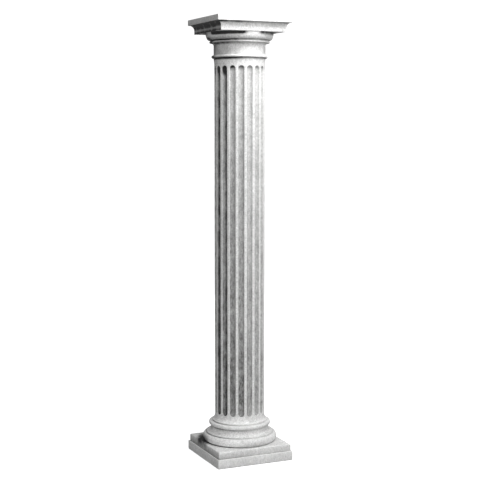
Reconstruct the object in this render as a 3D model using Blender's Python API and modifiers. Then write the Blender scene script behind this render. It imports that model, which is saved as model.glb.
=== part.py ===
"""A fluted column of pale cast stone, in three castings that stand on each other.

The base has a square stepped plinth, a torus, a scotia and a small ring. The shaft has flutes with
round ends and flat fillets between them. The capital has round mouldings under a square abacus.

Units are metres and +Z is up. The origin is at the centre of the plinth's underside. Heights are
stacked from the floor up. Widths are stacked outwards from the shaft: each moulding stands out from
its neighbour by a projection of its own.
"""
import math

import bpy

# Gap between two castings that rest on each other
BED_GAP = 0.0003

# How far a round moulding runs into the square block that it is cast with
ROOT_DEPTH = 0.010

# Shaft, without taper: a foot fillet, a hollow sweep, the flutes and a plain band with a slight flare
SHAFT_RADIUS = 0.1045
SHAFT_LENGTH = 1.5131
FOOT_PROJECTION = 0.011
FOOT_FILLET_HEIGHT = 0.008
FOOT_SWEEP_HEIGHT = 0.0225
HEAD_FLARE = 0.0025
HEAD_BAND_HEIGHT = 0.0304

# Flutes: their edges stand a fillet apart, and their round ends stop short of the sweep
FLUTE_COUNT = 18
FLUTE_DEPTH = 0.0108
FLUTE_FILLET_WIDTH = 0.0114
FLUTE_FOOT_MARGIN = 0.0035

# Round mouldings of the base, from the shaft down, each standing out from the one above it
RING_HEIGHT = 0.016
RING_PROJECTION = 0.0145
RING_BULGE = 0.005
SCOTIA_HEIGHT = 0.029
SCOTIA_UNDERCUT = 0.013
SCOTIA_LIP = 0.002
SCOTIA_FILLET_HEIGHT = 0.003
SCOTIA_FILLET_PROJECTION = 0.0115
TORUS_HEIGHT = 0.036
TORUS_PROJECTION = 0.0145
TORUS_BULGE = 0.015

# Plinth: an upper slab with a rounded top edge, a sunk line and a wider lower slab
PLINTH_MARGIN = 0.0065
UPPER_SLAB_HEIGHT = 0.028
UPPER_SLAB_ROUNDING = 0.006
PLINTH_LINE_HEIGHT = 0.002
PLINTH_LINE_DEPTH = 0.003
PLINTH_LEDGE = 0.0065
LOWER_SLAB_HEIGHT = 0.039

# Round mouldings of the capital, from the shaft up, each standing out from the one below it
ASTRAGAL_HEIGHT = 0.0138
ASTRAGAL_PROJECTION = 0.009
NECK_HEIGHT = 0.0371
NECK_SWEEP_HEIGHT = 0.0119
NECK_SWEEP_PROJECTION = 0.0135
ECHINUS_FILLET_HEIGHT = 0.0055
ECHINUS_FILLET_PROJECTION = 0.0035
GROOVE_HEIGHT = 0.0054
GROOVE_DEPTH = 0.003
ECHINUS_HEIGHT = 0.0296
ECHINUS_PROJECTION = 0.002
ECHINUS_SWELL = 0.014

# Square abacus: a fascia that just clears the echinus, a cavetto and a thick slab
FASCIA_MARGIN = 0.0035
FASCIA_HEIGHT = 0.013
CAVETTO_HEIGHT = 0.0235
CAVETTO_PROJECTION = 0.0165
TOP_SLAB_STEP = 0.004
TOP_SLAB_HEIGHT = 0.0235

# Fineness of the facets: the shaft has three sides to a flute, one of them centred on each fillet
ROUND_SIDES = 54
SHAFT_SIDES = 3 * FLUTE_COUNT
CUTTER_SIDES = 16
CUTTER_END_STEPS = 4
EDGE_STEPS = 4
NECK_SWEEP_STEPS = 4
MOULDING_STEPS = 6
TORUS_STEPS = 9
SEAM_MERGE = 0.00001

# Colour, roughness and metallic value of the stone
BASE_STONE = ((0.66, 0.66, 0.65), 0.85, 0.0)
SHAFT_STONE = ((0.60, 0.60, 0.60), 0.88, 0.0)
CAPITAL_STONE = ((0.70, 0.70, 0.69), 0.82, 0.0)


def new_collection(name):
    """An empty collection in the scene."""
    collection = bpy.data.collections.new(name)
    bpy.context.scene.collection.children.link(collection)
    return collection


def stone(name, look):
    """A stone material with its own colour, roughness and metallic value."""
    colour, roughness, metallic = look
    material = bpy.data.materials.new(name)
    material.use_nodes = True
    shader = material.node_tree.nodes["Principled BSDF"]
    shader.inputs["Base Color"].default_value = (*colour, 1.0)
    shader.inputs["Roughness"].default_value = roughness
    shader.inputs["Metallic"].default_value = metallic
    material.diffuse_color = (*colour, 1.0)
    return material


def arc(centre, radii, start, end, steps):
    """Points (radius, height) on an arc, angles in degrees from straight out, anticlockwise."""
    points = []
    for step in range(steps + 1):
        angle = math.radians(start + (end - start) * step / steps)
        points.append((centre[0] + radii[0] * math.cos(angle), centre[1] + radii[1] * math.sin(angle)))
    return points


def half_round(radius, bulge, bottom, height, steps):
    """A convex moulding from its top edge to its bottom edge, widest at its middle."""
    return arc((radius - bulge, bottom + height / 2), (bulge, height / 2), 90, -90, steps)


def turned(name, profile, sides, collection):
    """A solid turned about Z from a profile of (radius, height) points, given from the top down."""
    mesh = bpy.data.meshes.new(name)
    points = [(0.0, profile[0][1]), *profile, (0.0, profile[-1][1])]
    edges = [(index, index + 1) for index in range(len(points) - 1)]
    mesh.from_pydata([(radius, 0.0, height) for radius, height in points], edges, [])
    piece = bpy.data.objects.new(name, mesh)
    collection.objects.link(piece)
    screw = piece.modifiers.new("Turn", "SCREW")
    screw.axis = "Z"
    screw.angle = math.tau
    screw.steps = sides
    screw.render_steps = sides
    screw.use_merge_vertices = True
    screw.merge_threshold = SEAM_MERGE
    screw.use_smooth_shade = False
    return piece


def squared(name, profile, collection):
    """A square block with mitred mouldings, from a profile of (half width, height) points."""
    to_corner = math.sqrt(2.0)
    piece = turned(name, [(half * to_corner, height) for half, height in profile], 4, collection)
    piece.rotation_euler.z = math.pi / 4
    return piece


def as_cutter(piece):
    """Keep a shape that only forms another one out of sight."""
    piece.hide_render = True
    piece.display_type = "WIRE"


def unite(piece, other):
    """Cast another shape as one with a piece."""
    joined = piece.modifiers.new("Cast as one with " + other.name, "BOOLEAN")
    joined.operation = "UNION"
    joined.solver = "EXACT"
    joined.object = other


def make_base(parts, cutters):
    """Plinth, torus, scotia and ring, and the height of the bed on which the shaft stands."""
    line_top = LOWER_SLAB_HEIGHT + PLINTH_LINE_HEIGHT
    plinth_top = line_top + UPPER_SLAB_HEIGHT
    torus_top = plinth_top + TORUS_HEIGHT
    fillet_top = torus_top + SCOTIA_FILLET_HEIGHT
    scotia_top = fillet_top + SCOTIA_HEIGHT
    bed = scotia_top + RING_HEIGHT

    ring_radius = SHAFT_RADIUS + FOOT_PROJECTION + RING_PROJECTION
    fillet_radius = ring_radius + SCOTIA_FILLET_PROJECTION
    torus_radius = fillet_radius + TORUS_PROJECTION
    upper_half = torus_radius + PLINTH_MARGIN
    line_half = upper_half - PLINTH_LINE_DEPTH
    lower_half = upper_half + PLINTH_LEDGE

    rounding = UPPER_SLAB_ROUNDING
    plinth = squared("base", [
        *arc((upper_half - rounding, plinth_top - rounding), (rounding, rounding), 90, 0, EDGE_STEPS),
        (upper_half, line_top),
        (line_half, line_top),
        (line_half, LOWER_SLAB_HEIGHT),
        (lower_half, LOWER_SLAB_HEIGHT),
        (lower_half, 0.0),
    ], parts)

    scotia_rim = fillet_radius - SCOTIA_LIP
    scotia_depth = scotia_rim - (ring_radius - SCOTIA_UNDERCUT)
    rings = turned("base rings", [
        *half_round(ring_radius, RING_BULGE, scotia_top, RING_HEIGHT, MOULDING_STEPS),
        *arc((scotia_rim, scotia_top), (scotia_depth, SCOTIA_HEIGHT), 180, 270, MOULDING_STEPS),
        (fillet_radius, fillet_top),
        (fillet_radius, torus_top),
        *half_round(torus_radius, TORUS_BULGE, plinth_top, TORUS_HEIGHT, TORUS_STEPS),
        (torus_radius - TORUS_BULGE, plinth_top - ROOT_DEPTH),
    ], ROUND_SIDES, cutters)
    as_cutter(rings)
    unite(plinth, rings)
    return plinth, bed


def flute_cutter(number, bottom, top, cutters):
    """A round-ended bar, laid along the shaft, that hollows one flute between two heights."""
    pitch = math.tau / FLUTE_COUNT
    half_angle = pitch / 2 - math.asin(FLUTE_FILLET_WIDTH / 2 / SHAFT_RADIUS)
    half_width = SHAFT_RADIUS * math.sin(half_angle)
    depth = FLUTE_DEPTH - SHAFT_RADIUS * (1 - math.cos(half_angle))
    radius = (half_width ** 2 + depth ** 2) / (2 * depth)
    distance = SHAFT_RADIUS - FLUTE_DEPTH + radius
    angle = (number + 0.5) * pitch
    cutter = turned(f"flute {number + 1}", [
        *arc((0.0, top - radius), (radius, radius), 90, 0, CUTTER_END_STEPS)[1:],
        *arc((0.0, bottom + radius), (radius, radius), 0, -90, CUTTER_END_STEPS)[:-1],
    ], CUTTER_SIDES, cutters)
    cutter.location = (distance * math.cos(angle), distance * math.sin(angle), 0.0)
    cutter.rotation_euler.z = angle
    as_cutter(cutter)


def make_shaft(bed, parts, cutters):
    """The fluted shaft, standing a bed gap above the base, and the height of its head."""
    foot = bed + BED_GAP
    fillet_top = foot + FOOT_FILLET_HEIGHT
    sweep_top = fillet_top + FOOT_SWEEP_HEIGHT
    head = foot + SHAFT_LENGTH
    band_bottom = head - HEAD_BAND_HEIGHT
    foot_radius = SHAFT_RADIUS + FOOT_PROJECTION
    shaft = turned("shaft", [
        (SHAFT_RADIUS + HEAD_FLARE, head),
        (SHAFT_RADIUS, band_bottom),
        *arc((foot_radius, sweep_top), (FOOT_PROJECTION, FOOT_SWEEP_HEIGHT), 180, 270, MOULDING_STEPS),
        (foot_radius, foot),
    ], SHAFT_SIDES, parts)
    shaft.rotation_euler.z = math.pi / SHAFT_SIDES

    for number in range(FLUTE_COUNT):
        flute_cutter(number, sweep_top + FLUTE_FOOT_MARGIN, band_bottom, cutters)
    cut = shaft.modifiers.new("Flutes", "BOOLEAN")
    cut.operation = "DIFFERENCE"
    cut.solver = "EXACT"
    cut.operand_type = "COLLECTION"
    cut.collection = cutters
    return shaft, head


def make_capital(shaft_head, parts, cutters):
    """Round mouldings and square abacus, standing a bed gap above the shaft."""
    foot = shaft_head + BED_GAP
    neck_bottom = foot + ASTRAGAL_HEIGHT
    neck_top = neck_bottom + NECK_HEIGHT
    sweep_top = neck_top + NECK_SWEEP_HEIGHT
    fillet_top = sweep_top + ECHINUS_FILLET_HEIGHT
    echinus_bottom = fillet_top + GROOVE_HEIGHT
    echinus_top = echinus_bottom + ECHINUS_HEIGHT
    fascia_top = echinus_top + FASCIA_HEIGHT
    slab_bottom = fascia_top + CAVETTO_HEIGHT
    slab_top = slab_bottom + TOP_SLAB_HEIGHT

    neck_radius = SHAFT_RADIUS + HEAD_FLARE
    sweep_radius = neck_radius + NECK_SWEEP_PROJECTION
    fillet_radius = sweep_radius + ECHINUS_FILLET_PROJECTION
    groove_radius = fillet_radius - GROOVE_DEPTH
    echinus_radius = fillet_radius + ECHINUS_PROJECTION
    mouldings = turned("capital mouldings", [
        (echinus_radius + ECHINUS_SWELL, echinus_top + ROOT_DEPTH),
        *arc((echinus_radius, echinus_top), (ECHINUS_SWELL, ECHINUS_HEIGHT), 0, -90, MOULDING_STEPS),
        (groove_radius, echinus_bottom),
        (groove_radius, fillet_top),
        (fillet_radius, fillet_top),
        (fillet_radius, sweep_top),
        *arc((sweep_radius, neck_top), (NECK_SWEEP_PROJECTION, NECK_SWEEP_HEIGHT), 90, 180, NECK_SWEEP_STEPS),
        *half_round(neck_radius + ASTRAGAL_PROJECTION, ASTRAGAL_PROJECTION, foot, ASTRAGAL_HEIGHT,
                    MOULDING_STEPS),
    ], ROUND_SIDES, cutters)
    as_cutter(mouldings)

    fascia_half = echinus_radius + ECHINUS_SWELL + FASCIA_MARGIN
    cavetto_half = fascia_half + CAVETTO_PROJECTION
    slab_half = cavetto_half + TOP_SLAB_STEP
    abacus = squared("capital", [
        (slab_half, slab_top),
        (slab_half, slab_bottom),
        *arc((cavetto_half, fascia_top), (CAVETTO_PROJECTION, CAVETTO_HEIGHT), 90, 180, MOULDING_STEPS),
        (fascia_half, echinus_top),
    ], parts)
    unite(abacus, mouldings)
    return abacus


def main():
    for leftover in list(bpy.data.objects):
        bpy.data.objects.remove(leftover)
    parts = new_collection("fluted column")
    roots = new_collection("round mouldings cast with the square blocks")
    flutes = new_collection("flute cutters")
    base, bed = make_base(parts, roots)
    shaft, head = make_shaft(bed, parts, flutes)
    capital = make_capital(head, parts, roots)
    base.data.materials.append(stone("base stone", BASE_STONE))
    shaft.data.materials.append(stone("shaft stone", SHAFT_STONE))
    capital.data.materials.append(stone("capital stone", CAPITAL_STONE))


main()
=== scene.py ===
"""Looks for a fluted column of pale cast stone: base, shaft and capital, each a casting of its own.

Each casting is modelled again at full fineness in the place of its solid, with round mouldings, eased
edges, flutes with round ends and slightly uneven faces. Lengths are metres and +Z is up.
"""
import math

import bmesh
import bpy
import numpy as np
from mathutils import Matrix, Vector


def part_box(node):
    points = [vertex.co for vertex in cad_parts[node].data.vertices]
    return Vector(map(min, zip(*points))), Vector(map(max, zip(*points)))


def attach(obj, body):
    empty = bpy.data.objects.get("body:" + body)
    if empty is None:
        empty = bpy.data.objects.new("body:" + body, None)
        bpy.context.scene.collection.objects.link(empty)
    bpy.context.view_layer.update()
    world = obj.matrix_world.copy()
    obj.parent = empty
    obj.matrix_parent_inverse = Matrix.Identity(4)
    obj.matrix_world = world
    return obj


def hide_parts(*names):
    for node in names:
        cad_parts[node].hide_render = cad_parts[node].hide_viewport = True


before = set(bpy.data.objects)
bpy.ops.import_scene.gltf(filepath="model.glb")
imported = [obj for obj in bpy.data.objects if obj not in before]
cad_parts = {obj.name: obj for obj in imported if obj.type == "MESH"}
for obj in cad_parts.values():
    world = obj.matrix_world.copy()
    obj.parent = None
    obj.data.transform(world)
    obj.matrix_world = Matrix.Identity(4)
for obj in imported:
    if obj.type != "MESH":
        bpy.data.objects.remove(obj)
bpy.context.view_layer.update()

# Where the castings begin and end
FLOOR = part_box("base")[0].z
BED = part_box("base")[1].z
SHAFT_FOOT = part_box("shaft")[0].z
SHAFT_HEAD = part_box("shaft")[1].z
CAPITAL_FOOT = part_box("capital")[0].z
COLUMN_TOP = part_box("capital")[1].z

# Shaft and flutes
SHAFT_RADIUS = 0.1045
FOOT_PROJECTION = 0.011
FOOT_FILLET_HEIGHT = 0.008
FOOT_SWEEP_HEIGHT = 0.0225
HEAD_FLARE = 0.0025
HEAD_BAND_HEIGHT = 0.0304
FLUTE_COUNT = 18
FLUTE_DEPTH = 0.0108
FLUTE_FILLET_WIDTH = 0.0114
FLUTE_FOOT_MARGIN = 0.0035
FLUTE_PITCH = math.tau * SHAFT_RADIUS / FLUTE_COUNT

# Round mouldings of the base, from the shaft down
RING_HEIGHT = 0.016
RING_PROJECTION = 0.0145
RING_BULGE = 0.005
SCOTIA_HEIGHT = 0.029
SCOTIA_UNDERCUT = 0.013
SCOTIA_LIP = 0.002
SCOTIA_FILLET_HEIGHT = 0.003
SCOTIA_FILLET_PROJECTION = 0.0115
TORUS_HEIGHT = 0.036
TORUS_PROJECTION = 0.0145
TORUS_BULGE = 0.015

# Plinth
PLINTH_MARGIN = 0.0065
UPPER_SLAB_ROUNDING = 0.006
PLINTH_LINE_HEIGHT = 0.002
PLINTH_LINE_DEPTH = 0.003
PLINTH_LEDGE = 0.0065
LOWER_SLAB_HEIGHT = 0.039

# Round mouldings of the capital, from the shaft up
ASTRAGAL_HEIGHT = 0.0138
ASTRAGAL_PROJECTION = 0.009
NECK_HEIGHT = 0.0371
NECK_SWEEP_HEIGHT = 0.0119
NECK_SWEEP_PROJECTION = 0.0135
ECHINUS_FILLET_HEIGHT = 0.0055
ECHINUS_FILLET_PROJECTION = 0.0035
GROOVE_HEIGHT = 0.0054
GROOVE_DEPTH = 0.003
ECHINUS_HEIGHT = 0.0296
ECHINUS_PROJECTION = 0.002
ECHINUS_SWELL = 0.014

# Abacus
FASCIA_MARGIN = 0.0035
FASCIA_HEIGHT = 0.013
CAVETTO_HEIGHT = 0.0235
CAVETTO_PROJECTION = 0.0165
TOP_SLAB_STEP = 0.004

# How far a round moulding runs into its square block
ROOT_DEPTH = 0.010

# Fineness of the castings
ROUND_SIDES = 240
MOULDING_STEPS = 14
TORUS_STEPS = 24
SLAB_CUTS = 63
FLUTE_RAYS = 32
FLUTE_ARC_STEPS = 9
FLUTE_FILLET_STEPS = 2
FLUTE_ROWS = 70
EASED_STEPS = 3
HEAD_BAND_STEPS = 3
SHORTEST_STEP = 0.0005
SHARP_CORNER = math.radians(33)

# How close two places are taken for one, and the slack in comparing heights
SAME_PLACE = 0.00002
MODIFIER_MERGE = 0.00001
BED_TOLERANCE = 0.00005
CORNER_TOLERANCE = 0.0001
EAVES_TOLERANCE = 0.0002

# The way that the side turned from the key lamp faces, level and of length 1: shade is painted darkest on it
SIDE_FROM_KEY_LAMP = Vector((-0.91, 0.41, 0.0)).normalized()

# Where the painted shade of that side begins on a circle, as the cosine of the turn from its middle, and
# over how much it rises
LEE_BEGINS = 0.8
LEE_RISE = 0.15

# Where a square's overhang begins to shade a circle below it, as circle over square, and over how much that
# painted shade rises
SHELTER_BEGINS = 1.01
SHELTER_RISE = 0.03
SHELTER_LEAST = 0.1

# The place round the shaft, from -Y towards +X, of the flute with the darkest painted shade, turned from the
# key lamp, and how far round that painted shade spreads
DARKEST_FLUTE = math.radians(-80)
FLUTE_SHADE_FULL_TO = math.radians(25)
FLUTE_SHADE_ENDS_AT = math.radians(40)

# Painted shade in the flutes: how steeply it rises with depth, and how strong it gets at the tops, as a
# painted shadow under the round ends, and on the shaded walls
SHADE_RISE = 3.0
TOP_SHADE_MOST = 1.7
WALL_SHADE_MOST = 1.0
LEAST_WALL_SHADE_SHARE = 0.1

# How far the painted shadow reaches down from a flute's top, and how much further in the most shaded flutes
TOP_REACH = 0.012
SHADED_TOP_REACH = 0.04
SHADED_TOP_SLANT = 0.02

# How far the painted shade spreads from the right-hand wall past a flute's middle, in half flutes, and its
# soft edge
WALL_SPREAD = 0.7
DARKEST_WALL_SPREAD = 0.5
WALL_SPREAD_EDGE = 0.6

# How much the castings are worn
ARRIS_EASING = 0.0012
FLUTE_EASING = 0.0013
CORNER_EASING = 0.0025
WEAR_DEPTH = 0.0007
WEAR_SPREAD = 0.07
# How far an arris stands out before it is painted fully paler, as wear and as a painted highlight, and how
# far that paler paint spreads
WORN_ARRIS_DROP = 0.12
ARRIS_WEAR_SPREADS = 2
ARRIS_WEAR_FADE = 0.6


def clamp(value, low=0.0, high=1.0):
    """A value kept between two limits."""
    return min(max(value, low), high)


def clear_selection():
    """Nothing is selected, so the next operator acts on what it makes or is given."""
    bpy.ops.object.select_all(action="DESELECT")


def take_up(piece):
    """Make one piece the selected and active one."""
    clear_selection()
    piece.select_set(True)
    bpy.context.view_layer.objects.active = piece


def set_down(piece):
    """Fix a piece's place, turn and scale in its mesh."""
    take_up(piece)
    bpy.ops.object.transform_apply(location=True, rotation=True, scale=True)


def fix(piece, modifier):
    """Make a modifier's result the piece's own mesh."""
    take_up(piece)
    bpy.ops.object.modifier_apply(modifier=modifier.name)


def select_edges(piece, wanted):
    """Select the edges with both ends in a wanted place. The piece is in edit mode."""
    bpy.ops.mesh.select_mode(type="EDGE")
    bpy.ops.mesh.select_all(action="DESELECT")
    shape = bmesh.from_edit_mesh(piece.data)
    for edge in shape.edges:
        if all(wanted(vertex.co) for vertex in edge.verts):
            edge.select_set(True)
    bmesh.update_edit_mesh(piece.data)


def arc(centre, radii, start, end, steps):
    """Points (radius, height) on an arc, angles in degrees from straight out, anticlockwise."""
    points = []
    for step in range(steps + 1):
        angle = math.radians(start + (end - start) * step / steps)
        points.append((centre[0] + radii[0] * math.cos(angle), centre[1] + radii[1] * math.sin(angle)))
    return points


def half_round(radius, bulge, bottom, height, steps):
    """A convex moulding from its bottom edge to its top edge, widest at its middle."""
    return arc((radius - bulge, bottom + height / 2), (bulge, height / 2), -90, 90, steps)


def draw_up(profile):
    """Extrude the selected disc or square upwards along a profile of (half width, height) points."""
    bpy.ops.object.mode_set(mode="EDIT")
    for (width, height), (next_width, next_height) in zip(profile, profile[1:]):
        bpy.ops.mesh.extrude_region_move(TRANSFORM_OT_translate={"value": (0, 0, next_height - height)})
        growth = next_width / width
        bpy.ops.transform.resize(value=(growth, growth, 1), center_override=(0, 0, next_height))
    bpy.ops.object.mode_set(mode="OBJECT")


def turned(name, profile):
    """A round piece, drawn up from a disc."""
    clear_selection()
    bpy.ops.mesh.primitive_circle_add(
        vertices=ROUND_SIDES, radius=profile[0][0], fill_type="NGON", location=(0, 0, profile[0][1]))
    piece = bpy.context.object
    piece.name = name
    set_down(piece)
    draw_up(profile)
    return piece


def squared(name, profile):
    """A square block with mitred mouldings, drawn up from a square."""
    clear_selection()
    bpy.ops.mesh.primitive_plane_add(size=2 * profile[0][0], location=(0, 0, profile[0][1]))
    piece = bpy.context.object
    piece.name = name
    set_down(piece)
    draw_up(profile)
    return piece


def ease_edges(piece, width, wanted=None):
    """Round off the sharp edges of a piece, or those of them in a wanted place."""
    take_up(piece)
    bpy.ops.object.mode_set(mode="EDIT")
    bpy.ops.mesh.select_mode(type="EDGE")
    bpy.ops.mesh.select_all(action="DESELECT")
    bpy.ops.mesh.edges_select_sharp(sharpness=SHARP_CORNER)
    if wanted:
        shape = bmesh.from_edit_mesh(piece.data)
        for edge in shape.edges:
            if edge.select and not all(wanted(vertex.co) for vertex in edge.verts):
                edge.select_set(False)
        bmesh.update_edit_mesh(piece.data)
    bpy.ops.mesh.bevel(offset=width, segments=EASED_STEPS, affect="EDGES")
    bpy.ops.object.mode_set(mode="OBJECT")


def cut_into_cells(piece, longest):
    """Cut the long straight edges of a square block across, so that its faces can be uneven."""
    take_up(piece)
    bpy.ops.object.mode_set(mode="EDIT")
    bpy.ops.mesh.select_mode(type="EDGE")
    bpy.ops.mesh.select_all(action="DESELECT")
    shape = bmesh.from_edit_mesh(piece.data)
    for edge in shape.edges:
        if edge.calc_length() > longest:
            edge.select_set(True)
    bmesh.update_edit_mesh(piece.data)
    bpy.ops.mesh.subdivide(number_cuts=SLAB_CUTS)
    bpy.ops.object.mode_set(mode="OBJECT")


def cast_as_one(piece, other):
    """Join a second shape to a piece as one solid, and merge the points that meet along the seam."""
    union = piece.modifiers.new("cast as one", "BOOLEAN")
    union.operation = "UNION"
    union.solver = "EXACT"
    union.object = other
    fix(piece, union)
    bpy.data.objects.remove(other)
    bpy.ops.object.mode_set(mode="EDIT")
    bpy.ops.mesh.select_all(action="SELECT")
    bpy.ops.mesh.remove_doubles(threshold=SAME_PLACE)
    bpy.ops.object.mode_set(mode="OBJECT")


def is_bed(place):
    """True on the level faces on which the castings stand and carry."""
    return any(abs(place.z - bed) < BED_TOLERANCE
               for bed in (FLOOR, BED, SHAFT_FOOT, SHAFT_HEAD, CAPITAL_FOOT, COLUMN_TOP))


def wear_back(piece, unevenness):
    """Wear the open faces back unevenly, and leave the beds level."""
    open_faces = piece.vertex_groups.new(name="open faces")
    open_faces.add([v.index for v in piece.data.vertices if not is_bed(v.co)], 1.0, "REPLACE")
    wear = piece.modifiers.new("uneven faces", "DISPLACE")
    wear.texture = unevenness
    wear.texture_coords = "LOCAL"
    wear.strength = WEAR_DEPTH
    wear.mid_level = 1.0
    wear.vertex_group = open_faces.name
    fix(piece, wear)


def mark(piece, name, values):
    """Store a number for every vertex of a piece, for its material to read."""
    layer = piece.data.attributes.new(name, "FLOAT", "POINT")
    layer.data.foreach_set("value", np.asarray(values, np.float32))


def arris_wear_and_highlight(piece):
    """How far each vertex stands out from its neighbours, from 0 to 1, spread to those beside it."""
    count = len(piece.data.vertices)
    places = np.zeros(count * 3, np.float32)
    normals = np.zeros(count * 3, np.float32)
    ends = np.zeros(len(piece.data.edges) * 2, np.int32)
    piece.data.vertices.foreach_get("co", places)
    piece.data.vertices.foreach_get("normal", normals)
    piece.data.edges.foreach_get("vertices", ends)
    places, normals, ends = places.reshape(-1, 3), normals.reshape(-1, 3), ends.reshape(-1, 2)
    both_ways = np.concatenate([ends, ends[:, ::-1]])
    near, far = both_ways[:, 0], both_ways[:, 1]
    away = places[far] - places[near]
    length = np.maximum(np.linalg.norm(away, axis=1), 1e-9)
    drop = -np.einsum("ij,ij->i", normals[near], away) / length
    neighbours = np.maximum(np.bincount(near, minlength=count), 1)
    drop = np.bincount(near, drop, minlength=count) / neighbours
    standing_out = np.clip(drop / WORN_ARRIS_DROP, 0, 1)
    for _ in range(ARRIS_WEAR_SPREADS):
        around = np.bincount(near, standing_out[far], minlength=count) / neighbours
        standing_out = np.maximum(standing_out, ARRIS_WEAR_FADE * around)
    return standing_out


def crevice_shade(piece, crevices):
    """How dark each vertex is painted, from how close it lies to a crevice: painted shade in crevices and
    under overhangs, and dark joint lines.

    A crevice is (plan, half width, height, reach, strength). Its plan is round, square, left, which is
    a square's -X side, lee, which is a circle's side turned from the key lamp, eaves, which is a square
    from its height down, or sheltered, which is a circle from its height down under a square's overhanging
    corners.
    """
    values = []
    for vertex in piece.data.vertices:
        x, y, z = vertex.co
        circle = max(math.hypot(x, y), SAME_PLACE)
        square = max(abs(x), abs(y), SAME_PLACE)
        shelter = clamp((circle / square - SHELTER_BEGINS) / SHELTER_RISE, SHELTER_LEAST)
        lee = clamp((vertex.co.dot(SIDE_FROM_KEY_LAMP) / circle - LEE_BEGINS) / LEE_RISE)
        left = float(-x > abs(y))
        widths = {"round": circle, "square": square, "left": square, "lee": circle, "eaves": square,
                  "sheltered": circle}
        shares = {"round": 1.0, "square": 1.0, "left": left, "lee": lee, "eaves": 1.0, "sheltered": shelter}
        most = 0.0
        for plan, half_width, height, reach, strength in crevices:
            if plan in ("eaves", "sheltered") and z > height + EAVES_TOLERANCE:
                continue
            distance = math.hypot(widths[plan] - half_width, z - height)
            most = max(most, strength * shares[plan] * math.exp(-(distance / reach) ** 4))
        values.append(most)
    return values


def finish_casting(piece, node, stone, unevenness):
    """Weather a casting, shade it, give it its stone and put it in the place of its solid."""
    wear_back(piece, unevenness)
    mark(piece, "arris", arris_wear_and_highlight(piece))
    take_up(piece)
    bpy.ops.object.shade_smooth_by_angle(angle=SHARP_CORNER)
    piece.data.materials.clear()
    piece.data.materials.append(stone)
    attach(piece, "root")
    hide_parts(node)


def make_base(stone, unevenness):
    """Plinth with its round mouldings."""
    scotia_top = BED - RING_HEIGHT
    fillet_top = scotia_top - SCOTIA_HEIGHT
    torus_top = fillet_top - SCOTIA_FILLET_HEIGHT
    plinth_top = torus_top - TORUS_HEIGHT
    line_top = LOWER_SLAB_HEIGHT + PLINTH_LINE_HEIGHT
    ring_radius = SHAFT_RADIUS + FOOT_PROJECTION + RING_PROJECTION
    fillet_radius = ring_radius + SCOTIA_FILLET_PROJECTION
    torus_radius = fillet_radius + TORUS_PROJECTION
    upper_half = torus_radius + PLINTH_MARGIN
    line_half = upper_half - PLINTH_LINE_DEPTH
    lower_half = upper_half + PLINTH_LEDGE

    rounding = UPPER_SLAB_ROUNDING
    base = squared("base_casting", [
        (lower_half, FLOOR),
        (lower_half, LOWER_SLAB_HEIGHT),
        (line_half, LOWER_SLAB_HEIGHT),
        (line_half, line_top),
        (upper_half, line_top),
        *arc((upper_half - rounding, plinth_top - rounding), (rounding, rounding), 0, 90, EASED_STEPS * 2),
    ])
    lower_slab_top = LOWER_SLAB_HEIGHT + CORNER_TOLERANCE
    ease_edges(base, CORNER_EASING, lambda place: place.z < lower_slab_top
               and max(abs(place.x), abs(place.y)) > upper_half)
    ease_edges(base, ARRIS_EASING / 2, lambda place: place.z > lower_slab_top)
    cut_into_cells(base, lower_half)

    scotia_rim = fillet_radius - SCOTIA_LIP
    scotia_neck = ring_radius - SCOTIA_UNDERCUT
    rings = turned("base rings", [
        (torus_radius - TORUS_BULGE, plinth_top - ROOT_DEPTH),
        *half_round(torus_radius, TORUS_BULGE, plinth_top, TORUS_HEIGHT, TORUS_STEPS),
        (fillet_radius, torus_top),
        (fillet_radius, fillet_top),
        *arc((scotia_rim, scotia_top), (scotia_rim - scotia_neck, SCOTIA_HEIGHT), 270, 180, MOULDING_STEPS),
        *half_round(ring_radius, RING_BULGE, scotia_top, RING_HEIGHT, MOULDING_STEPS),
    ])
    ease_edges(rings, ARRIS_EASING / 2)
    cast_as_one(base, rings)
    # Painted shade: darker where the torus meets the plinth, under the ring, round the scotia and in the
    # line between the slabs, a painted shadow on the plinth's top behind the torus on the side turned from
    # the key lamp, and a dark joint line under the shaft
    mark(base, "shade_and_dirt", crevice_shade(base, [
        ("round", torus_radius - TORUS_BULGE, plinth_top, 0.010, 1.0),
        ("lee", torus_radius, plinth_top, 0.028, 1.1),
        ("round", fillet_radius, torus_top, 0.004, 0.7),
        ("round", scotia_neck, scotia_top, 0.007, 1.0),
        ("round", SHAFT_RADIUS + FOOT_PROJECTION, BED, 0.004, 0.8),
        ("square", line_half, LOWER_SLAB_HEIGHT, 0.005, 0.8),
    ]))
    finish_casting(base, "base", stone, unevenness)


def flute_section():
    """Points (distance along the shaft's face, depth) from a flute's middle to its edge, and its radius."""
    half_angle = math.pi / FLUTE_COUNT - math.asin(FLUTE_FILLET_WIDTH / 2 / SHAFT_RADIUS)
    half_width = SHAFT_RADIUS * math.sin(half_angle)
    depth = FLUTE_DEPTH - SHAFT_RADIUS * (1 - math.cos(half_angle))
    radius = (half_width ** 2 + depth ** 2) / (2 * depth)
    distance = SHAFT_RADIUS - FLUTE_DEPTH + radius
    edge_turn = math.pi - math.atan2(half_width, SHAFT_RADIUS * math.cos(half_angle) - distance)
    points = []
    for step in range(FLUTE_ARC_STEPS + 1):
        turn = edge_turn * step / FLUTE_ARC_STEPS
        across = radius * math.sin(turn)
        inwards = distance - radius * math.cos(turn)
        along = SHAFT_RADIUS * math.atan2(across, inwards)
        points.append((along, SHAFT_RADIUS - math.hypot(across, inwards)))
    return points, radius


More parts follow.
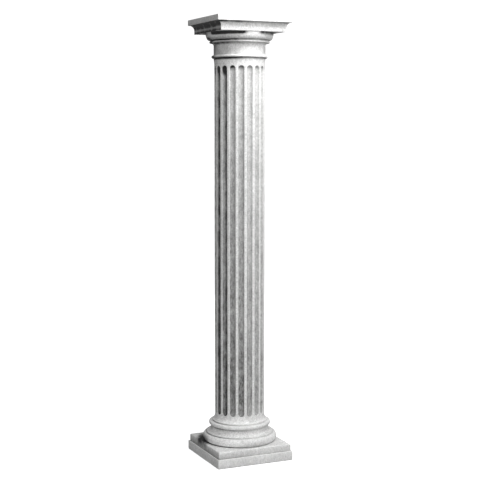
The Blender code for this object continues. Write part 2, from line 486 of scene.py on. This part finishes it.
def carry_on(panel, profile):
    """Extrude the flat panel's straight end along a profile of (projection, height) points."""
    take_up(panel)
    bpy.ops.object.mode_set(mode="EDIT")
    select_edges(panel, lambda place: abs(place.z - profile[0][1]) < SAME_PLACE)
    for (out, height), (next_out, next_height) in zip(profile, profile[1:]):
        step = (0, out - next_out, next_height - height)
        bpy.ops.mesh.extrude_region_move(TRANSFORM_OT_translate={"value": step})
    bpy.ops.object.mode_set(mode="OBJECT")


def flute_panel():
    """One flute with half a fillet on each side, modelled flat: X runs round the shaft, Y into it."""
    section, end_radius = flute_section()
    band_bottom = SHAFT_HEAD - HEAD_BAND_HEIGHT
    sweep_top = SHAFT_FOOT + FOOT_FILLET_HEIGHT + FOOT_SWEEP_HEIGHT
    upper_end = band_bottom - end_radius
    lower_end = sweep_top + FLUTE_FOOT_MARGIN + end_radius
    middle = (upper_end + lower_end) / 2
    straight = (upper_end - lower_end) / 2
    arris = section[-1][0]
    rim = FLUTE_PITCH / 2
    for step in range(1, FLUTE_FILLET_STEPS + 1):
        section.append((arris + (rim - arris) * step / FLUTE_FILLET_STEPS, 0.0))

    # The upper round end, drawn outwards from its middle as a full circle
    clear_selection()
    first, depth = section[1]
    bpy.ops.mesh.primitive_circle_add(vertices=FLUTE_RAYS, radius=first, fill_type="TRIFAN",
                                      location=(0, depth, straight), rotation=(math.pi / 2, 0, 0))
    panel = bpy.context.object
    panel.name = "shaft_casting"
    set_down(panel)
    bpy.ops.object.mode_set(mode="EDIT")
    bpy.ops.mesh.select_mode(type="EDGE")
    bpy.ops.mesh.region_to_loop()
    for (width, depth), (next_width, next_depth) in zip(section[1:], section[2:]):
        bpy.ops.mesh.extrude_region_move(TRANSFORM_OT_translate={"value": (0, next_depth - depth, 0)})
        growth = next_width / width
        bpy.ops.transform.resize(value=(growth, 1, growth), center_override=(0, next_depth, straight))

    # Its middle lies at the flute's full depth, and its arris is eased
    bpy.ops.mesh.select_mode(type="VERT")
    bpy.ops.mesh.select_all(action="DESELECT")
    shape = bmesh.from_edit_mesh(panel.data)
    for vertex in shape.verts:
        if math.hypot(vertex.co.x, vertex.co.z - straight) < SAME_PLACE:
            vertex.co.y = FLUTE_DEPTH
    select_edges(panel, lambda place: abs(math.hypot(place.x, place.z - straight) - arris) < SAME_PLACE)
    bpy.ops.mesh.bevel(offset=FLUTE_EASING, segments=EASED_STEPS, affect="EDGES")

    # Only the upper half of the circle stays
    bpy.ops.mesh.select_mode(type="VERT")
    bpy.ops.mesh.select_all(action="DESELECT")
    shape = bmesh.from_edit_mesh(panel.data)
    for vertex in shape.verts:
        if vertex.co.z < straight - SAME_PLACE:
            vertex.select_set(True)
    bmesh.update_edit_mesh(panel.data)
    bpy.ops.mesh.delete(type="VERT")

    # The flute runs down from it to mid height
    select_edges(panel, lambda place: abs(place.z - straight) < SAME_PLACE)
    for _ in range(FLUTE_ROWS):
        bpy.ops.mesh.extrude_region_move(TRANSFORM_OT_translate={"value": (0, 0, -straight / FLUTE_ROWS)})

    # The shaft's face goes on above the round end up to a level line
    rim_height = straight + rim + FLUTE_EASING
    select_edges(panel, lambda place: place.z > straight - SAME_PLACE
                 and abs(math.hypot(place.x, place.z - straight) - rim) < SAME_PLACE)
    bpy.ops.mesh.extrude_region_move(TRANSFORM_OT_translate={"value": (0, 0, rim_height - straight)})
    bpy.ops.transform.resize(value=(1, 1, 0), center_override=(0, 0, rim_height))
    bpy.ops.object.mode_set(mode="OBJECT")

    mirror = panel.modifiers.new("both ends", "MIRROR")
    mirror.use_axis = (False, False, True)
    mirror.merge_threshold = MODIFIER_MERGE
    fix(panel, mirror)
    panel.location.z = middle
    set_down(panel)

    easing = ARRIS_EASING
    lift = SHAFT_HEAD - easing
    band_start = middle + rim_height
    head = [(0.0, band_start)]
    for step in range(1, HEAD_BAND_STEPS + 1):
        share = step / HEAD_BAND_STEPS
        head.append((HEAD_FLARE * share, band_start + (lift - band_start) * share))
    head += arc((HEAD_FLARE - easing, lift), (easing, easing), 0, 90, EASED_STEPS)[1:]
    carry_on(panel, head)

    fillet_top = SHAFT_FOOT + FOOT_FILLET_HEIGHT
    foot_start = middle - rim_height
    sweep = arc((FOOT_PROJECTION, sweep_top), (FOOT_PROJECTION, FOOT_SWEEP_HEIGHT), 180, 270, MOULDING_STEPS)
    foot = [(0.0, foot_start)]
    foot += [point for point in sweep if point[1] < foot_start - SHORTEST_STEP][:-1]
    foot += arc((FOOT_PROJECTION - easing, fillet_top - easing), (easing, easing), 90, 0, EASED_STEPS)
    foot += arc((FOOT_PROJECTION - easing, SHAFT_FOOT + easing), (easing, easing), 0, -90, EASED_STEPS)
    carry_on(panel, foot)
    return panel


def shade_in_flutes(shaft):
    """How deep each vertex lies in a flute, from 0 to 1, and how dark it is painted there.

    A painted shadow darkens the flutes' tops all round. In the flute most turned from the key lamp and those
    beside it the painted shade reaches further down, and it lies along the floor and the right-hand wall,
    seen from outside.
    """
    flute_top = SHAFT_HEAD - HEAD_BAND_HEIGHT
    pitch = math.tau / FLUTE_COUNT
    half_flute = pitch / 2 - math.asin(FLUTE_FILLET_WIDTH / 2 / SHAFT_RADIUS)
    hollow = []
    flute_shade = []
    for vertex in shaft.data.vertices:
        x, y, z = vertex.co
        turn = math.atan2(x, -y)
        flute_turn = round(turn / pitch) * pitch
        across = (turn - flute_turn) / half_flute
        off = abs(flute_turn - DARKEST_FLUTE)
        share = clamp((FLUTE_SHADE_ENDS_AT - off) / (FLUTE_SHADE_ENDS_AT - FLUTE_SHADE_FULL_TO))
        depth = 0.0 if is_bed(vertex.co) else clamp((SHAFT_RADIUS - math.hypot(x, y)) / FLUTE_DEPTH)
        hollow.append(depth)
        reach = TOP_REACH + share * (SHADED_TOP_REACH + SHADED_TOP_SLANT * across)
        top_shade = min(SHADE_RISE * depth, TOP_SHADE_MOST) * math.exp(-((flute_top - z) / reach) ** 4)
        spread = WALL_SPREAD + DARKEST_WALL_SPREAD * max(1.0 - off / pitch, 0.0)
        wall = LEAST_WALL_SHADE_SHARE + (1 - LEAST_WALL_SHADE_SHARE) * clamp((across + spread) / WALL_SPREAD_EDGE)
        wall_shade = min(SHADE_RISE * depth, WALL_SHADE_MOST) * share * wall
        flute_shade.append(max(top_shade, wall_shade))
    return hollow, flute_shade


def make_shaft(stone, unevenness):
    """Eighteen flat flute panels side by side, bent round into a shaft and closed at both beds."""
    shaft = flute_panel()
    row = shaft.modifiers.new("flutes side by side", "ARRAY")
    row.count = FLUTE_COUNT
    row.use_relative_offset = False
    row.use_constant_offset = True
    row.constant_offset_displace = (FLUTE_PITCH, 0, 0)
    row.use_merge_vertices = True
    row.merge_threshold = MODIFIER_MERGE
    fix(shaft, row)
    bend = shaft.modifiers.new("bent round", "SIMPLE_DEFORM")
    bend.deform_method = "BEND"
    bend.deform_axis = "Z"
    bend.angle = math.tau
    fix(shaft, bend)
    shaft.location.y = -SHAFT_RADIUS
    set_down(shaft)

    bpy.ops.object.mode_set(mode="EDIT")
    bpy.ops.mesh.select_all(action="SELECT")
    bpy.ops.mesh.remove_doubles(threshold=SAME_PLACE)
    for bed in (SHAFT_FOOT, SHAFT_HEAD):
        select_edges(shaft, lambda place: abs(place.z - bed) < SAME_PLACE)
        bpy.ops.mesh.edge_face_add()
    bpy.ops.mesh.select_all(action="SELECT")
    bpy.ops.mesh.normals_make_consistent(inside=False)
    bpy.ops.object.mode_set(mode="OBJECT")

    # Painted shade at the flutes' tops and along their walls on the side turned from the key lamp, and in
    # the crevices at both beds, which also hold dark joint lines
    hollow, flute_shade = shade_in_flutes(shaft)
    mark(shaft, "hollow", hollow)
    crevices = crevice_shade(shaft, [
        ("round", SHAFT_RADIUS + FOOT_PROJECTION, SHAFT_FOOT, 0.004, 0.8),
        ("round", SHAFT_RADIUS + HEAD_FLARE, SHAFT_HEAD, 0.004, 1.6),
    ])
    mark(shaft, "shade_and_dirt", np.maximum(crevices, flute_shade))
    finish_casting(shaft, "shaft", stone, unevenness)


def make_capital(stone, unevenness):
    """Round mouldings under a square abacus."""
    neck_bottom = CAPITAL_FOOT + ASTRAGAL_HEIGHT
    neck_top = neck_bottom + NECK_HEIGHT
    sweep_top = neck_top + NECK_SWEEP_HEIGHT
    fillet_top = sweep_top + ECHINUS_FILLET_HEIGHT
    echinus_bottom = fillet_top + GROOVE_HEIGHT
    echinus_top = echinus_bottom + ECHINUS_HEIGHT
    fascia_top = echinus_top + FASCIA_HEIGHT
    slab_bottom = fascia_top + CAVETTO_HEIGHT
    neck_radius = SHAFT_RADIUS + HEAD_FLARE
    sweep_radius = neck_radius + NECK_SWEEP_PROJECTION
    fillet_radius = sweep_radius + ECHINUS_FILLET_PROJECTION
    groove_radius = fillet_radius - GROOVE_DEPTH
    echinus_radius = fillet_radius + ECHINUS_PROJECTION
    fascia_half = echinus_radius + ECHINUS_SWELL + FASCIA_MARGIN
    cavetto_half = fascia_half + CAVETTO_PROJECTION
    slab_half = cavetto_half + TOP_SLAB_STEP

    capital = squared("capital_casting", [
        (fascia_half, echinus_top),
        *arc((cavetto_half, fascia_top), (CAVETTO_PROJECTION, CAVETTO_HEIGHT), 180, 90, MOULDING_STEPS),
        (slab_half, slab_bottom),
        (slab_half, COLUMN_TOP),
    ])
    ease_edges(capital, ARRIS_EASING)
    cut_into_cells(capital, fascia_half)

    rings = turned("capital rings", [
        *half_round(neck_radius + ASTRAGAL_PROJECTION, ASTRAGAL_PROJECTION, CAPITAL_FOOT, ASTRAGAL_HEIGHT,
                    MOULDING_STEPS),
        *arc((sweep_radius, neck_top), (NECK_SWEEP_PROJECTION, NECK_SWEEP_HEIGHT), 180, 90, MOULDING_STEPS),
        (fillet_radius, sweep_top),
        (fillet_radius, fillet_top),
        (groove_radius, fillet_top),
        (groove_radius, echinus_bottom),
        *arc((echinus_radius, echinus_top), (ECHINUS_SWELL, ECHINUS_HEIGHT), -90, 0, MOULDING_STEPS),
        (echinus_radius + ECHINUS_SWELL, echinus_top + ROOT_DEPTH),
    ])
    ease_edges(rings, ARRIS_EASING / 2)
    cast_as_one(capital, rings)
    # Painted shade: under the astragal, also a dark joint line, under the neck's sweep, in the groove, on
    # the echinus's top under the abacus corners, under the top slab, and on the -X side's fascia edge,
    # cavetto and slab face, darkest on the side turned from the key lamp
    mark(capital, "shade_and_dirt", crevice_shade(capital, [
        ("round", neck_radius, CAPITAL_FOOT, 0.008, 2.5),
        ("lee", neck_radius, CAPITAL_FOOT, 0.013, 2.5),
        ("round", neck_radius, neck_bottom, 0.003, 0.4),
        ("round", (neck_radius + sweep_radius) / 2, sweep_top, 0.011, 1.1),
        ("lee", neck_radius, neck_top, 0.006, 0.8),
        ("round", groove_radius, echinus_bottom, 0.0057, 2.0),
        ("round", echinus_radius, echinus_bottom + 0.004, 0.011, 0.65),
        ("lee", echinus_radius, echinus_bottom, 0.014, 2.0),
        ("sheltered", echinus_radius + ECHINUS_SWELL, echinus_top, 0.0105, 3.5),
        ("left", fascia_half, echinus_top, 0.003, 1.5),
        ("eaves", cavetto_half, slab_bottom, 0.0125, 1.9),
        ("left", (fascia_half + cavetto_half) / 2, (fascia_top + slab_bottom) / 2, 0.014, 1.4),
        ("left", slab_half, (slab_bottom + COLUMN_TOP) / 2, 0.05, 0.18),
    ]))
    finish_casting(capital, "capital", stone, unevenness)


class Finish:
    """A material under construction, with short ways to add and join its nodes."""

    def __init__(self, name):
        self.material = bpy.data.materials.new(name)
        self.material.use_nodes = True
        self.tree = self.material.node_tree
        self.shader = self.tree.nodes["Principled BSDF"]
        self.place = self.add("ShaderNodeTexCoord").outputs["Object"]

    def add(self, kind, inputs=None, **settings):
        """Add a node. An input is a plain value or another node's output."""
        node = self.tree.nodes.new(kind)
        for name, value in settings.items():
            setattr(node, name, value)
        for name, value in (inputs or {}).items():
            self.join(value, node.inputs[name])
        return node

    def join(self, value, socket):
        if isinstance(value, bpy.types.NodeSocket):
            self.tree.links.new(value, socket)
        else:
            socket.default_value = value

    def noise(self, scale, detail=4.0, roughness=0.55, stretch=None):
        """Cloudy noise over the piece, from 0 to 1, drawn out along Z where a stretch is given."""
        where = self.place
        if stretch:
            where = self.add("ShaderNodeMapping", {"Vector": where, "Scale": (1, 1, 1 / stretch)}).outputs[0]
        node = self.add("ShaderNodeTexNoise", {
            "Vector": where, "Scale": scale, "Detail": detail, "Roughness": roughness})
        return node.outputs["Fac"]

    def spread(self, value, low, high, to_low=0.0, to_high=1.0):
        """Stretch a value's range from low..high to a new one, and keep it there."""
        node = self.add("ShaderNodeMapRange", {
            "Value": value, "From Min": low, "From Max": high, "To Min": to_low, "To Max": to_high})
        return node.outputs[0]

    def vary(self, noise, to_low, to_high):
        """Stretch noise, which mostly lies between 0.3 and 0.7, to a range of its own."""
        return self.spread(noise, 0.3, 0.7, to_low, to_high)

    def math(self, operation, first, second, clamp=False):
        node = self.add("ShaderNodeMath", {0: first, 1: second}, operation=operation, use_clamp=clamp)
        return node.outputs[0]

    def attribute(self, name):
        """A number stored on the piece's vertices."""
        return self.add("ShaderNodeAttribute", attribute_name=name).outputs["Fac"]

    def blend(self, share, first, second, way="MIX"):
        """Mix two colours."""
        node = self.add("ShaderNodeMix", data_type="RGBA", blend_type=way)
        for socket, value in ((0, share), (6, first), (7, second)):
            self.join(value, node.inputs[socket])
        return node.outputs[2]


# Colours of the stone, of the dirt and painted shade in its flutes, and of the painted shade in its crevices
STONE_LIGHT = (0.92, 0.92, 0.915, 1)
STONE_DARK = (0.5, 0.5, 0.495, 1)
STONE_WORN_AND_LIT = (0.88, 0.88, 0.875, 1)
FLUTE_DIRT_AND_SHADE = (0.11, 0.11, 0.108, 1)
PAINTED_SHADE_BLACK = (0.02, 0.02, 0.02, 1)

# How dark the flutes are painted low down and high up, and between which heights that changes
FLUTE_DARKENING_LOW_DOWN = 0.8
FLUTE_DARKENING_HIGH_UP = 0.35
LOW_DOWN = 0.25
HIGH_UP = 1.62

# Depth of the stone's grain
GRAIN_DEPTH = 0.0012


def cast_stone(name):
    """Pale cast stone with a sandy grain, cloudy patches and small pits, dirt and painted shade in the
    flutes, painted shade in the crevices, and paler arrises that are partly wear and partly a painted
    highlight.
    """
    finish = Finish(name)
    clouds = finish.noise(scale=11.0, detail=3.0)
    mottle = finish.noise(scale=75.0, detail=4.0, roughness=0.6)
    sand = finish.noise(scale=170.0, detail=3.0, roughness=0.6)
    grain = finish.noise(scale=900.0, detail=2.0, roughness=0.7)
    streaks = finish.noise(scale=150.0, detail=4.0, roughness=0.6, stretch=3.0)
    patches = finish.noise(scale=38.0, detail=5.0, roughness=0.6, stretch=2.0)

    # The stone itself, and its paler arrises, partly real wear and partly a painted highlight
    tone = finish.math("ADD", finish.vary(clouds, 0.0, 0.25), finish.vary(mottle, 0.0, 0.35))
    tone = finish.math("ADD", tone, finish.vary(sand, -0.1, 0.6), clamp=True)
    colour = finish.blend(tone, STONE_DARK, STONE_LIGHT)
    wear = finish.math("MULTIPLY", finish.attribute("arris"), finish.spread(patches, 0.35, 0.6, 0.3, 1.0))
    colour = finish.blend(finish.math("MULTIPLY", wear, 0.7), colour, STONE_WORN_AND_LIT)

    # How far a place faces the side turned from the key lamp, where shade is painted darkest, from -1 to 1
    level = finish.add("ShaderNodeVectorMath", {0: finish.place, 1: (1, 1, 0)}, operation="MULTIPLY")
    outwards = finish.add("ShaderNodeVectorMath", {0: level.outputs[0]}, operation="NORMALIZE")
    facing = finish.add("ShaderNodeVectorMath", {0: outwards.outputs[0], 1: tuple(SIDE_FROM_KEY_LAMP)},
                        operation="DOT_PRODUCT")
    side = facing.outputs["Value"]

    # Dirt and painted shade in the flutes, streaky and patchy, darker towards the bottom, and painted
    # lighter on the side that the key lamp lights
    height = finish.add("ShaderNodeSeparateXYZ", {0: finish.place}).outputs[2]
    shade_and_dirt = finish.math("ADD", finish.attribute("hollow"), finish.vary(patches, -0.08, 0.06))
    shade_and_dirt = finish.math("MULTIPLY", finish.spread(shade_and_dirt, 0.02, 0.3),
                        finish.spread(height, LOW_DOWN, HIGH_UP, FLUTE_DARKENING_LOW_DOWN, FLUTE_DARKENING_HIGH_UP))
    shade_and_dirt = finish.math("MULTIPLY", shade_and_dirt, finish.vary(streaks, 0.65, 1.35))
    shade_and_dirt = finish.math("MULTIPLY", shade_and_dirt, finish.vary(patches, 0.75, 1.25))
    shade_and_dirt = finish.math("MULTIPLY", shade_and_dirt, finish.spread(side, -0.4, -0.1, 0.7, 1.0))
    colour = finish.blend(shade_and_dirt, colour, FLUTE_DIRT_AND_SHADE)

    # Painted shade in the crevices, under overhangs and in the flutes, darkest on the side turned from the
    # key lamp, with the dark joint lines
    painted_shade = finish.math("MULTIPLY", finish.attribute("shade_and_dirt"), finish.vary(patches, 0.6, 1.2))
    painted_shade = finish.math("MULTIPLY", painted_shade, finish.spread(side, -0.4, 0.8, 0.3, 1.0), clamp=True)
    colour = finish.blend(painted_shade, colour, PAINTED_SHADE_BLACK)

    speckle = finish.vary(grain, 0.86, 1.06)
    colour = finish.blend(1.0, colour, speckle, "MULTIPLY")
    finish.join(colour, finish.shader.inputs["Base Color"])
    finish.join(finish.vary(mottle, 0.95, 0.8), finish.shader.inputs["Roughness"])
    finish.shader.inputs["Specular IOR Level"].default_value = 0.3

    # A sandy relief with pits in some patches
    pits = finish.add("ShaderNodeTexVoronoi", {"Vector": finish.place, "Scale": 130.0}, feature="F1")
    pit_depth = finish.spread(pits.outputs["Distance"], 0.05, 0.16, -1.0, 0.0)
    some_pits = finish.math("MULTIPLY", pit_depth, finish.spread(patches, 0.5, 0.6))
    relief = finish.math("ADD", finish.math("MULTIPLY", grain, 0.3), finish.math("MULTIPLY", sand, 0.6))
    relief = finish.math("ADD", relief, mottle)
    relief = finish.math("ADD", relief, finish.math("MULTIPLY", some_pits, 0.8))
    bump = finish.add("ShaderNodeBump", {"Height": relief, "Strength": 0.6, "Distance": GRAIN_DEPTH})
    finish.join(bump.outputs[0], finish.shader.inputs["Normal"])
    return finish.material


# Studio floor: its glow round the column, and further off, where it meets the backdrop
FLOOR_SIZE = 40.0
FLOOR_NEAR = 0.5
FLOOR_FAR = 3.0
GLOW_NEAR = 0.7
GLOW_FAR = 1.0


def make_floor():
    """A plain white floor. It shows and takes shadows, but throws no light back on the stone."""
    clear_selection()
    bpy.ops.mesh.primitive_plane_add(size=FLOOR_SIZE, location=(0, 0, FLOOR))
    floor = bpy.context.object
    floor.name = "studio_floor"
    paper = Finish("floor paper")
    paper.shader.inputs["Base Color"].default_value = (0.9, 0.9, 0.9, 1)
    paper.shader.inputs["Roughness"].default_value = 0.9
    paper.shader.inputs["Specular IOR Level"].default_value = 0.1
    paper.shader.inputs["Emission Color"].default_value = (1, 1, 1, 1)
    away = paper.add("ShaderNodeVectorMath", {0: paper.place}, operation="LENGTH").outputs["Value"]
    glow = paper.spread(away, FLOOR_NEAR, FLOOR_FAR, GLOW_NEAR, GLOW_FAR)
    paper.join(glow, paper.shader.inputs["Emission Strength"])
    floor.data.materials.append(paper.material)
    floor.visible_diffuse = False


def toward(azimuth, elevation):
    """A direction. Azimuth is in degrees from -Y towards +X, elevation in degrees above level."""
    turn = math.radians(azimuth)
    rise = math.radians(elevation)
    return Vector((math.cos(rise) * math.sin(turn), -math.cos(rise) * math.cos(turn), math.sin(rise)))


def lamp(name, target, azimuth, elevation, distance, size, brightness):
    """A square soft lamp aimed at a height on the column's axis.

    At a brightness of 1 a white surface at the target that faces the lamp renders as white.
    """
    data = bpy.data.lights.new(name, "AREA")
    data.shape = "SQUARE"
    data.size = size
    data.energy = brightness * (math.pi * distance) ** 2
    light = bpy.data.objects.new(name, data)
    bpy.context.scene.collection.objects.link(light)
    way = toward(azimuth, elevation)
    light.location = Vector((0, 0, target)) + way * distance
    light.rotation_euler = (-way).to_track_quat("-Z", "Y").to_euler()
    light.visible_camera = False


# Each lamp's name, the height it is aimed at, azimuth, elevation, distance, size and brightness
LAMPS = (
    ("key lamp", 1.7, 20, 49, 1.4, 0.6, 1.28),
    ("high front panel", 1.2, -22, 52, 4.0, 2.2, 0.15),
    ("high left panel", 1.2, -52, 45, 4.0, 2.2, 0.17),
    ("front panel", 1.2, -18, 3, 6.0, 2.2, 0.42),
    ("right panel", 1.2, 38, 16, 4.0, 2.2, 0.42),
    ("back right panel", 1.2, 112, 8, 4.0, 2.2, 0.2),
    ("back panel", 1.2, 168, 20, 4.0, 2.2, 0.35),
    ("low left lamp", 0.1, -72, 5, 1.4, 0.6, 0.14),
)

# Light that comes from all round, and the white that the camera sees behind the column
AIR_LIGHT = 0.03
BACKDROP_LIGHT = 1.1


def make_studio():
    """A key lamp close above the capital at the front right, weak panels all round, and a white backdrop."""
    for settings in LAMPS:
        lamp(*settings)

    world = bpy.data.worlds.new("studio air")
    bpy.context.scene.world = world
    world.use_nodes = True
    tree = world.node_tree
    tree.nodes.clear()
    output = tree.nodes.new("ShaderNodeOutputWorld")
    mix = tree.nodes.new("ShaderNodeMixShader")
    air = tree.nodes.new("ShaderNodeBackground")
    backdrop = tree.nodes.new("ShaderNodeBackground")
    path = tree.nodes.new("ShaderNodeLightPath")
    air.inputs["Strength"].default_value = AIR_LIGHT
    backdrop.inputs["Color"].default_value = (1, 1, 1, 1)
    backdrop.inputs["Strength"].default_value = BACKDROP_LIGHT
    tree.links.new(path.outputs["Is Camera Ray"], mix.inputs[0])
    tree.links.new(air.outputs[0], mix.inputs[1])
    tree.links.new(backdrop.outputs[0], mix.inputs[2])
    tree.links.new(mix.outputs[0], output.inputs[0])


# Camera, in degrees and metres, with its lens and sensor in millimetres
CAMERA_AZIMUTH = -23.95
CAMERA_DISTANCE = 4.746
CAMERA_SIDEWAYS = 0.0081
CAMERA_HEIGHT = 1.396
CAMERA_TILT = 5.83
CAMERA_LENS = 85.04
CAMERA_SENSOR = 36.0


def make_camera():
    """A camera a little above the middle of the column, in front of it and to its left."""
    angle = math.radians(CAMERA_AZIMUTH)
    tilt = math.radians(CAMERA_TILT)
    forward = Vector((-math.sin(angle), math.cos(angle), 0))
    right = Vector((math.cos(angle), math.sin(angle), 0))
    data = bpy.data.cameras.new("studio camera")
    data.sensor_width = CAMERA_SENSOR
    data.lens = CAMERA_LENS
    camera = bpy.data.objects.new("studio camera", data)
    bpy.context.scene.collection.objects.link(camera)
    camera.location = right * CAMERA_SIDEWAYS - forward * CAMERA_DISTANCE + Vector((0, 0, CAMERA_HEIGHT))
    look = forward * math.cos(tilt) - Vector((0, 0, math.sin(tilt)))
    camera.rotation_euler = look.to_track_quat("-Z", "Y").to_euler()
    bpy.context.scene.camera = camera


unevenness = bpy.data.textures.new("uneven faces", "CLOUDS")
unevenness.noise_scale = WEAR_SPREAD
unevenness.noise_depth = 2

make_camera()
make_base(cast_stone("base stone"), unevenness)
make_shaft(cast_stone("shaft stone"), unevenness)
make_capital(cast_stone("capital stone"), unevenness)
make_floor()
make_studio()
bpy.context.scene.view_settings.view_transform = "Standard"
